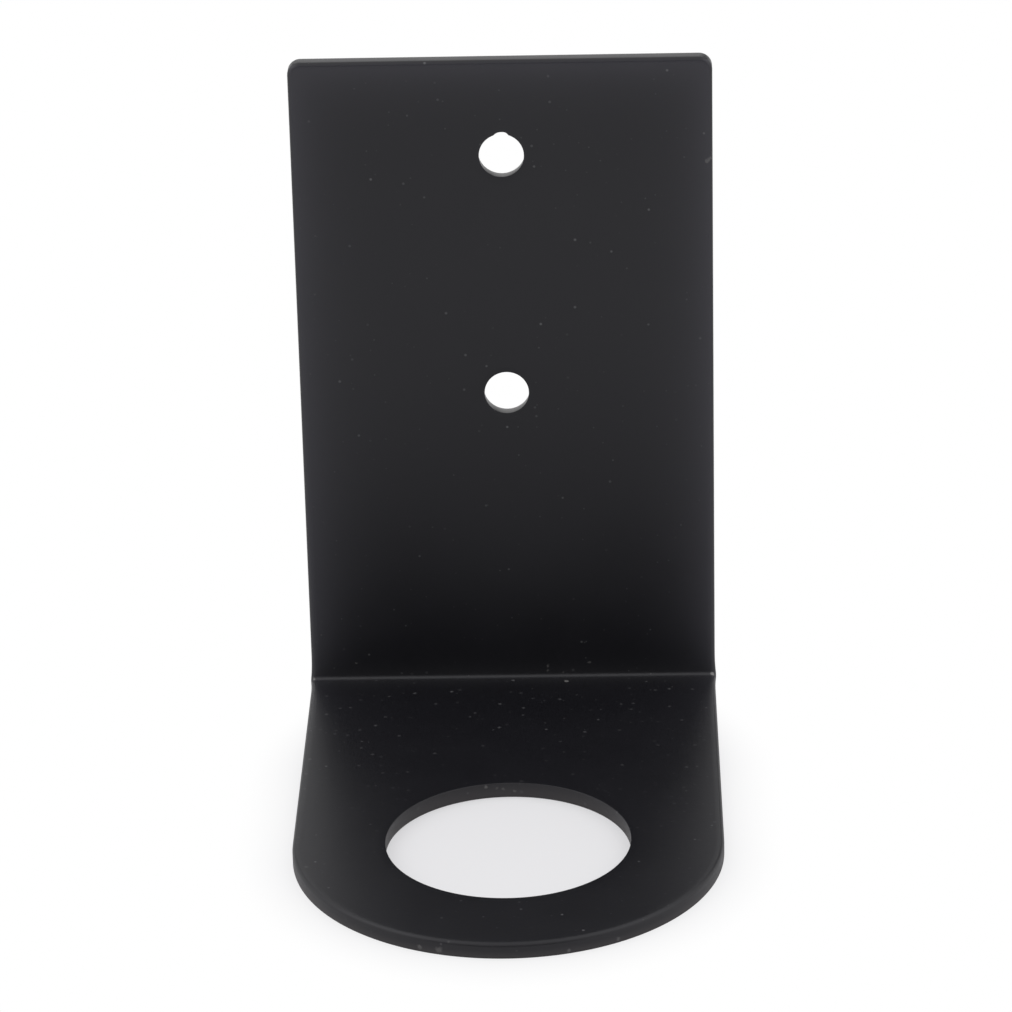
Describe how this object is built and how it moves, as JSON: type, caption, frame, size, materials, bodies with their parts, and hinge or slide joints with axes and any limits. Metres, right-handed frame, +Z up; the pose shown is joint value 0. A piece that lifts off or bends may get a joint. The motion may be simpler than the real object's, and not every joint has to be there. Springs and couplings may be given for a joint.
{
  "type": "hair dryer holder",
  "caption": "L-shaped wall bracket of matte black coated sheet steel: a plate with screw holes bent into a round-nosed shelf whose ring takes a hair dryer.",
  "frame": {"origin": "on the wall face of the plate, midway between the two screw holes", "axes": "+X to the right for someone facing the wall, +Y into the wall, +Z up along the plate"},
  "size_m": [0.08, 0.112, 0.1314],
  "materials": {
    "black_coating": "matte black powder coating on sheet steel"
  },
  "bodies": {
    "root": {"bracket": "black_coating"}
  },
  "joints": []
}
